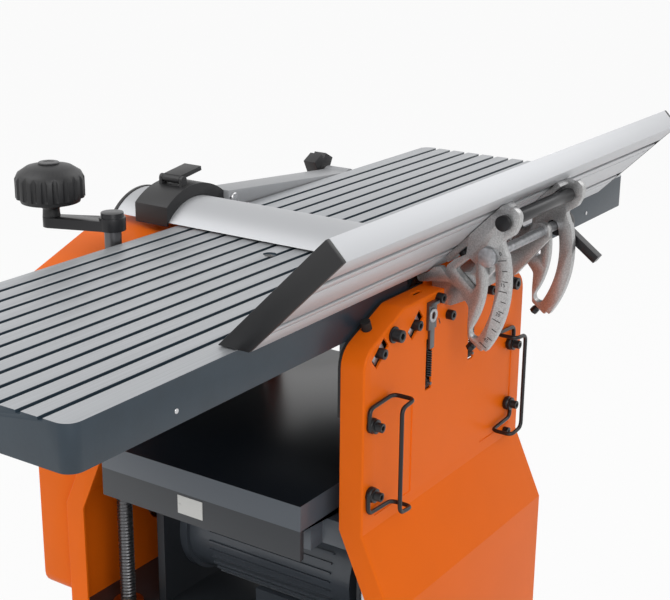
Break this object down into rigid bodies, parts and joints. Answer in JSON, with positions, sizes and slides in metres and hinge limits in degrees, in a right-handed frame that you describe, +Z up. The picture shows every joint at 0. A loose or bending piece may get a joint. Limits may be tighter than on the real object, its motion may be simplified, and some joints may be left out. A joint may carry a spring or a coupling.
{
  "type": "combination planer thicknesser",
  "caption": "Floor-standing planer and thicknesser with grooved tables, tilting fence, bridge guard, height crank, orange side panels, cutterblock, power feed, motor and a splayed stand",
  "frame": {"origin": "on the floor, centred between the four foot holes", "axes": "X along the tables with the infeed end at +X, Y from the operator towards the fence, Z up"},
  "size_m": [1, 0.613, 0.9586],
  "materials": {
    "cast_table": "machined, with a fine milled sheen",
    "orange_paint": "semi-gloss paint",
    "dark_paint": "satin dark paint",
    "black_plastic": "fine-grained",
    "black_rubber": "matt",
    "bright_steel": "ground",
    "dark_steel": "oiled",
    "black_steel": "blackened",
    "anodised": "satin anodised",
    "cast_alu": "die cast, satin",
    "bronze": "turned",
    "green_plastic": "gloss",
    "red_plastic": "gloss",
    "grey_cast": "painted grey"
  },
  "bodies": {
    "body": {"outfeed_table": "cast_table", "depth_bracket": "dark_steel", "bearing_set": "bright_steel", "side_frames": "dark_paint", "bearing_plates": "dark_paint", "base_pan": "dark_paint", "right_panel": "orange_paint", "left_panel": "orange_paint", "drive_cover": "orange_paint", "edge_seals": "black_rubber", "panel_screws": "black_steel", "wire_hooks": "black_steel", "latch_bracket": "dark_steel", "panel_springs": "black_steel", "lift_columns": "bright_steel", "drive_chains": "dark_steel", "screw_bushes": "bronze", "gearbox": "cast_alu", "kickback_rod": "bright_steel", "motor": "grey_cast", "drive_belts": "black_rubber", "fence_carrier": "cast_alu", "tilt_rod": "bright_steel", "guard_pivot": "dark_steel", "switch_box": "black_plastic", "stand": "dark_paint", "rubber_feet": "black_rubber"},
    "infeed": {"infeed_table": "cast_table", "depth_slot_plates": "dark_steel"},
    "depth_knob": {"depth_screw_knob": "black_plastic"},
    "cutter": {"cutterblock": "bright_steel", "knives_set": "bright_steel", "gib_bars": "dark_steel", "cutter_pulley": "cast_alu"},
    "rotor": {"motor_shaft": "bright_steel"},
    "gearbox_fast": {"gearbox_input": "dark_steel"},
    "gearbox_slow": {"gearbox_output": "dark_steel"},
    "near_feed": {"near_roller": "dark_steel"},
    "far_feed": {"far_roller": "dark_steel"},
    "fingers": {"kickback_fingers": "dark_steel"},
    "lift": {"thicknessing_table": "grey_cast", "lift_carriage": "grey_cast", "lift_nuts": "bronze"},
    "crank": {"lead_screw": "dark_steel", "crank_arm": "black_steel"},
    "knob": {"crank_knob": "black_plastic"},
    "idle": {"idle_screw": "dark_steel"},
    "tilt": {"near_quadrant": "cast_alu", "far_quadrant": "cast_alu", "quadrant_fittings": "black_steel"},
    "fence": {"fence_profile": "anodised", "fence_caps": "black_plastic"},
    "tilt_clamp": {"tilt_lever": "black_plastic"},
    "guard_swing": {"guard_arm": "anodised", "guard_clamp": "black_plastic"},
    "guard": {"guard_plate": "anodised"},
    "guard_lock": {"clamp_lever": "black_plastic"},
    "swing_lock": {"guard_knob": "black_plastic"},
    "start": {"start_button": "green_plastic"},
    "stop": {"stop_button": "red_plastic"}
  },
  "joints": [
    {"name": "infeed_depth", "type": "slide", "parent": "body", "child": "infeed", "axis": [0.766, 0, -0.6428], "range_m": [-0.0012, 0.0034]},
    {"name": "depth_screw_turn", "type": "hinge", "parent": "infeed", "child": "depth_knob", "pos_m": [0.236, -0.1345, 0.788], "axis": [1, 0, 0], "range_deg": [-221, 626]},
    {"name": "cutter_spin", "type": "hinge", "parent": "body", "child": "cutter", "pos_m": [0, 0, 0.8193], "axis": [0, 1, 0], "continuous": true},
    {"name": "rotor_spin", "type": "hinge", "parent": "body", "child": "rotor", "pos_m": [0, -0.232, 0.497], "axis": [0, 1, 0], "continuous": true},
    {"name": "gearbox_input_spin", "type": "hinge", "parent": "body", "child": "gearbox_fast", "pos_m": [0, -0.206, 0.715], "axis": [0, 1, 0], "continuous": true},
    {"name": "gearbox_output_spin", "type": "hinge", "parent": "body", "child": "gearbox_slow", "pos_m": [0, -0.19, 0.715], "axis": [0, 1, 0], "continuous": true},
    {"name": "near_roller_spin", "type": "hinge", "parent": "body", "child": "near_feed", "pos_m": [0.058, 0, 0.804], "axis": [0, 1, 0], "continuous": true},
    {"name": "far_roller_spin", "type": "hinge", "parent": "body", "child": "far_feed", "pos_m": [-0.058, 0, 0.804], "axis": [0, 1, 0], "continuous": true},
    {"name": "fingers_swing", "type": "hinge", "parent": "body", "child": "fingers", "pos_m": [-0.11, 0, 0.818], "axis": [0, -1, 0], "range_deg": [0, 50]},
    {"name": "thicknessing_height", "type": "slide", "parent": "body", "child": "lift", "axis": [0, 0, 1], "range_m": [-0.024, 0.128]},
    {"name": "crank_turn", "type": "hinge", "parent": "body", "child": "crank", "pos_m": [0.119, -0.1625, 0.868], "axis": [0, 0, 1], "range_deg": [-2160, 11520]},
    {"name": "idle_screw_turn", "type": "hinge", "parent": "body", "child": "idle", "pos_m": [-0.119, 0.1625, 0.6], "axis": [0, 0, 1], "range_deg": [-2160, 11520]},
    {"name": "crank_knob_spin", "type": "hinge", "parent": "crank", "child": "knob", "pos_m": [0.14518, -0.22417, 0.89], "axis": [0, 0, 1], "continuous": true},
    {"name": "fence_tilt", "type": "hinge", "parent": "body", "child": "tilt", "pos_m": [-0.039, 0.1302, 0.8511], "axis": [1, 0, 0], "range_deg": [0, 45]},
    {"name": "fence_slide", "type": "slide", "parent": "tilt", "child": "fence", "axis": [1, 0, 0], "range_m": [-0.08, 0.08]},
    {"name": "tilt_lever_turn", "type": "hinge", "parent": "body", "child": "tilt_clamp", "pos_m": [-0.155, 0.229, 0.87647], "axis": [1, 0, 0], "range_deg": [-60, 30]},
    {"name": "guard_height", "type": "hinge", "parent": "body", "child": "guard_swing", "pos_m": [-0.312, -0.168, 0.839], "axis": [0, -1, 0], "range_deg": [0, 12]},
    {"name": "guard_reach", "type": "slide", "parent": "guard_swing", "child": "guard", "axis": [0, -1, 0], "range_m": [0, 0.24]},
    {"name": "guard_clamp_lever", "type": "hinge", "parent": "guard_swing", "child": "guard_lock", "pos_m": [-0.0005, -0.1815, 0.892], "axis": [0, 1, 0], "range_deg": [0, 60]},
    {"name": "guard_knob_turn", "type": "hinge", "parent": "body", "child": "swing_lock", "pos_m": [-0.312, -0.195, 0.839], "axis": [0, 1, 0], "range_deg": [0, 90]},
    {"name": "start_press", "type": "slide", "parent": "body", "child": "start", "axis": [0, 1, 0], "range_m": [0, 0.003], "stiffness_N_per_m": 300},
    {"name": "stop_press", "type": "slide", "parent": "body", "child": "stop", "axis": [0, 1, 0], "range_m": [0, 0.003], "stiffness_N_per_m": 300}
  ],
  "couplings": [
    {"joint": "depth_screw_turn", "follows": "infeed_depth", "rad_per_m": 3208.8},
    {"joint": "crank_turn", "follows": "thicknessing_height", "rad_per_m": 1570.8},
    {"joint": "idle_screw_turn", "follows": "thicknessing_height", "rad_per_m": 1570.8},
    {"joint": "rotor_spin", "follows": "cutter_spin", "ratio": 0.62963},
    {"joint": "gearbox_input_spin", "follows": "cutter_spin", "ratio": 0.37143},
    {"joint": "gearbox_output_spin", "follows": "cutter_spin", "ratio": -0.01},
    {"joint": "near_roller_spin", "follows": "cutter_spin", "ratio": -0.008824},
    {"joint": "far_roller_spin", "follows": "cutter_spin", "ratio": -0.008824}
  ]
}
